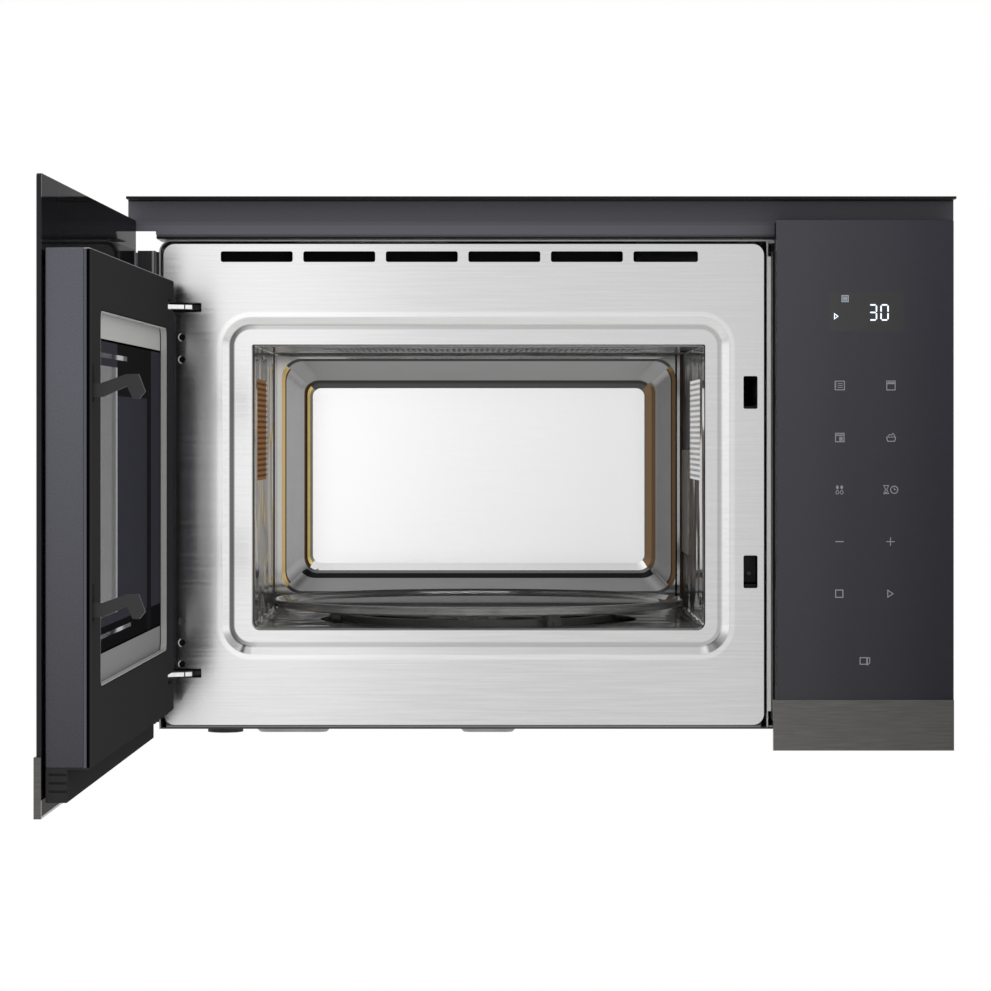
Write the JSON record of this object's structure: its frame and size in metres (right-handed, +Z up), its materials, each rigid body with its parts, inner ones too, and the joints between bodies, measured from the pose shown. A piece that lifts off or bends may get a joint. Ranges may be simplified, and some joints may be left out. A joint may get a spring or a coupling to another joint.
{
  "type": "built-in microwave oven",
  "caption": "Built-in microwave oven for a wall niche, with a side-hinged dark glass door shown open, touch control panel, stainless cavity and glass turntable.",
  "frame": {"origin": "middle of the niche's front lower edge: halfway across the front, on the cabinet's front plane, on the niche shelf that the feet stand on", "axes": "+Y into the cabinet, away from the user; +Z up; +X to the user's right, towards the control panel"},
  "size_m": [0.6052, 0.8737, 0.3977],
  "materials": {
    "stainless": "satin",
    "cavity_steel": "satin",
    "zinc_steel": "galvanised",
    "anthracite_metal": "satin",
    "grey_metal": "satin",
    "dark_steel": "brushed",
    "dark_glass": "polished",
    "tinted_pane": "polished",
    "turntable_glass": "polished",
    "lamp_glass": "polished",
    "charcoal_plastic": "moulded",
    "black_plastic": "moulded",
    "light_plastic": "moulded",
    "grey_plastic": "moulded",
    "white_ceramic": "matt",
    "mica": "matt",
    "aluminium": "mill",
    "copper_iron": "varnished",
    "board_green": "coated board",
    "rubber": "matt",
    "steel": "bright"
  },
  "bodies": {
    "chassis": {"front_plate": "stainless", "cavity_liner": "cavity_steel", "lamp_screen": "cavity_steel", "outlet_screen": "cavity_steel", "grill_guard": "cavity_steel", "grill_reflector": "aluminium", "grill_element": "white_ceramic", "wrapper": "zinc_steel", "base_plate": "zinc_steel", "feet": "rubber", "rear_panel": "zinc_steel", "chassis_screws": "steel", "mains_gland": "black_plastic", "top_trim": "anthracite_metal", "side_strip": "anthracite_metal", "hinge_brackets": "steel", "panel_bracket": "light_plastic", "panel_housing": "black_plastic", "control_glass": "dark_glass", "control_strip": "dark_steel", "touch_board": "board_green", "display_module": "black_plastic", "power_board": "board_green", "interlock_bracket": "black_plastic", "microswitches": "black_plastic", "solenoid_coil": "copper_iron", "waveguide": "zinc_steel", "waveguide_cover": "mica", "magnetron": "aluminium", "transformer": "copper_iron", "capacitor": "aluminium", "filter_board": "board_green", "lamp_holder": "zinc_steel", "lamp_bulb": "lamp_glass", "turntable_motor": "zinc_steel", "fan_shroud": "grey_plastic", "fan_motor": "copper_iron", "thermal_cutouts": "black_plastic"},
    "door": {"door_frame": "grey_metal", "door_glass": "dark_glass", "door_strip": "dark_steel", "door_cover": "charcoal_plastic", "door_window": "tinted_pane", "door_screen": "aluminium", "latch_guide": "black_plastic", "hinge_pins": "steel"},
    "latch": {"latch_hooks": "black_plastic"},
    "release_plunger": {"solenoid_plunger": "steel"},
    "release_lever": {"release_lever": "grey_plastic"},
    "switch_upper": {"switch_plunger_upper": "grey_plastic"},
    "switch_lower": {"switch_plunger_lower": "grey_plastic"},
    "switch_monitor": {"switch_plunger_monitor": "grey_plastic"},
    "turntable": {"turntable_plate": "turntable_glass"},
    "coupler": {"drive_coupler": "grey_plastic"},
    "roller_ring": {"roller_ring": "grey_plastic"},
    "roller_a": {"roller_a": "grey_plastic"},
    "roller_b": {"roller_b": "grey_plastic"},
    "roller_c": {"roller_c": "grey_plastic"},
    "fan": {"fan_impeller": "black_plastic"}
  },
  "joints": [
    {"name": "door_hinge", "type": "hinge", "parent": "chassis", "child": "door", "pos_m": [-0.2881, -0.0096, 0.178], "axis": [0, 0, 1], "range_deg": [-3.7, 91.3]},
    {"name": "latch_slide", "type": "slide", "parent": "door", "child": "latch", "axis": [0, 0, 1], "range_m": [-0.002, 0.0035]},
    {"name": "release_slide", "type": "slide", "parent": "chassis", "child": "release_plunger", "axis": [0, 0, -1], "range_m": [-0.0024, 0.0042], "stiffness_N_per_m": 300},
    {"name": "release_hinge", "type": "hinge", "parent": "chassis", "child": "release_lever", "pos_m": [0.1523, 0.057, 0.228], "axis": [-1, 0, 0], "range_deg": [-7.65, 13.4]},
    {"name": "switch_upper_slide", "type": "slide", "parent": "chassis", "child": "switch_upper", "axis": [-1, 0, 0], "range_m": [0, 0.0012], "stiffness_N_per_m": 400},
    {"name": "switch_lower_slide", "type": "slide", "parent": "chassis", "child": "switch_lower", "axis": [-1, 0, 0], "range_m": [0, 0.0012], "stiffness_N_per_m": 400},
    {"name": "switch_monitor_slide", "type": "slide", "parent": "chassis", "child": "switch_monitor", "axis": [0, 1, 0], "range_m": [0, 0.0012], "stiffness_N_per_m": 400},
    {"name": "turntable_spin", "type": "hinge", "parent": "chassis", "child": "turntable", "pos_m": [-0.045, 0.1777, 0.0844], "axis": [0, 0, 1], "continuous": true},
    {"name": "coupler_spin", "type": "hinge", "parent": "chassis", "child": "coupler", "pos_m": [-0.045, 0.1777, 0.07], "axis": [0, 0, 1], "continuous": true},
    {"name": "ring_spin", "type": "hinge", "parent": "chassis", "child": "roller_ring", "pos_m": [-0.045, 0.1777, 0.0777], "axis": [0, 0, 1], "continuous": true},
    {"name": "fan_spin", "type": "hinge", "parent": "chassis", "child": "fan", "pos_m": [0.2, 0.342, 0.215], "axis": [0, 1, 0], "continuous": true},
    {"name": "roller_a_spin", "type": "hinge", "parent": "roller_ring", "child": "roller_a", "pos_m": [0.01, 0.08244, 0.0777], "axis": [0.5, -0.866, 0], "continuous": true},
    {"name": "roller_b_spin", "type": "hinge", "parent": "roller_ring", "child": "roller_b", "pos_m": [0.01, 0.27296, 0.0777], "axis": [0.5, 0.866, 0], "continuous": true},
    {"name": "roller_c_spin", "type": "hinge", "parent": "roller_ring", "child": "roller_c", "pos_m": [-0.155, 0.1777, 0.0777], "axis": [-1, 0, 0], "continuous": true}
  ],
  "couplings": [
    {"joint": "latch_slide", "follows": "release_slide", "ratio": 0.83333},
    {"joint": "release_hinge", "follows": "release_slide", "rad_per_m": 55.556},
    {"joint": "coupler_spin", "follows": "turntable_spin", "ratio": 1},
    {"joint": "ring_spin", "follows": "turntable_spin", "ratio": 0.5},
    {"joint": "roller_a_spin", "follows": "turntable_spin", "ratio": -8.5937},
    {"joint": "roller_b_spin", "follows": "turntable_spin", "ratio": -8.5937},
    {"joint": "roller_c_spin", "follows": "turntable_spin", "ratio": -8.5937}
  ]
}
